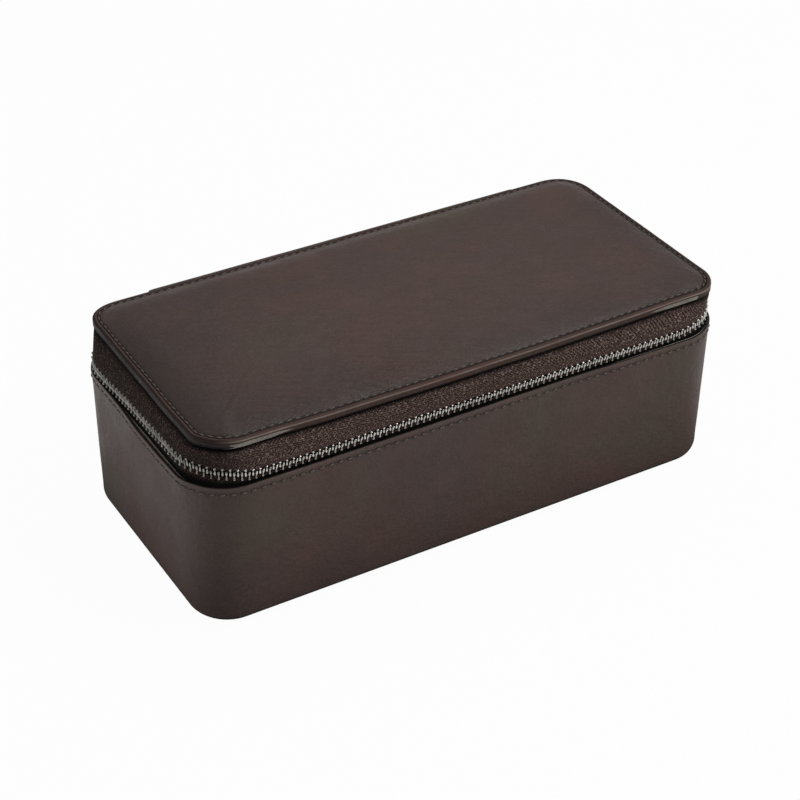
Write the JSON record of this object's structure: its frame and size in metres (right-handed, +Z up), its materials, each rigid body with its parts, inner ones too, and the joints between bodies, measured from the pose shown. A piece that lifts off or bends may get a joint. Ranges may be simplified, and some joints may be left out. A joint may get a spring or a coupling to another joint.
{
  "type": "watch travel case",
  "caption": "Rectangular leather-covered case with a padded lid on a leather spine, a metal zip round three sides, and lined bays with lift-out watch pillows.",
  "frame": {"origin": "centre of the underside of the closed case", "axes": "+X along the length to the viewer's right, +Y to the spine at the back, +Z up"},
  "size_m": [0.2562, 0.1208, 0.0934],
  "materials": {
    "leather": "burnished smooth leather, dark brown",
    "zip_tape": "herringbone woven tape",
    "zip_metal": "antique gunmetal, worn bright on the heads",
    "lining": "brushed microsuede",
    "pillow": "brushed microsuede",
    "foam": "open-cell foam",
    "board": "grey fibreboard"
  },
  "bodies": {
    "base": {"base_board": "board", "base_leather": "leather", "base_bottom_leather": "leather", "insert_wall": "lining", "insert_floor": "lining", "divider_1": "lining", "divider_2": "lining", "divider_3": "lining", "zip_tape_lower": "zip_tape", "zip_teeth_lower": "zip_metal", "zip_stop_lower": "zip_metal", "zip_bottom_stop": "zip_metal", "hinge_spine": "leather"},
    "lid": {"lid_board": "board", "lid_foam": "foam", "lid_leather": "leather", "lid_edge_binding": "leather", "lid_lining": "lining", "zip_tape_upper": "zip_tape", "zip_teeth_upper": "zip_metal", "zip_stop_upper": "zip_metal"},
    "zip_slider": {"slider_body": "zip_metal"},
    "zip_pull": {"pull_link": "zip_metal", "pull_tab": "leather", "pull_rivet": "zip_metal"},
    "watch_pillow_1": {"pillow_1": "pillow"},
    "watch_pillow_2": {"pillow_2": "pillow"},
    "watch_pillow_3": {"pillow_3": "pillow"},
    "watch_pillow_4": {"pillow_4": "pillow"}
  },
  "joints": [
    {"name": "lid_hinge", "type": "hinge", "parent": "base", "child": "lid", "pos_m": [0, 0.0603, 0.0745], "axis": [-1, 0, 0], "range_deg": [0, 110], "deforming": ["hinge_spine"]},
    {"name": "zip_slide", "type": "slide", "parent": "base", "child": "zip_slider", "axis": [0, -1, 0], "range_m": [0, 0.05], "deforming": ["zip_teeth_upper", "zip_teeth_lower"]},
    {"name": "pull_swing", "type": "hinge", "parent": "zip_slider", "child": "zip_pull", "pos_m": [0.1279, 0.023, 0.0745], "axis": [0, 0, 1], "range_deg": [0, 165]},
    {"name": "pillow_1_lift", "type": "slide", "parent": "base", "child": "watch_pillow_1", "axis": [0, 0, 1], "range_m": [0, 0.033]},
    {"name": "pillow_2_lift", "type": "slide", "parent": "base", "child": "watch_pillow_2", "axis": [0, 0, 1], "range_m": [0, 0.033]},
    {"name": "pillow_3_lift", "type": "slide", "parent": "base", "child": "watch_pillow_3", "axis": [0, 0, 1], "range_m": [0, 0.033]},
    {"name": "pillow_4_lift", "type": "slide", "parent": "base", "child": "watch_pillow_4", "axis": [0, 0, 1], "range_m": [0, 0.033]}
  ]
}
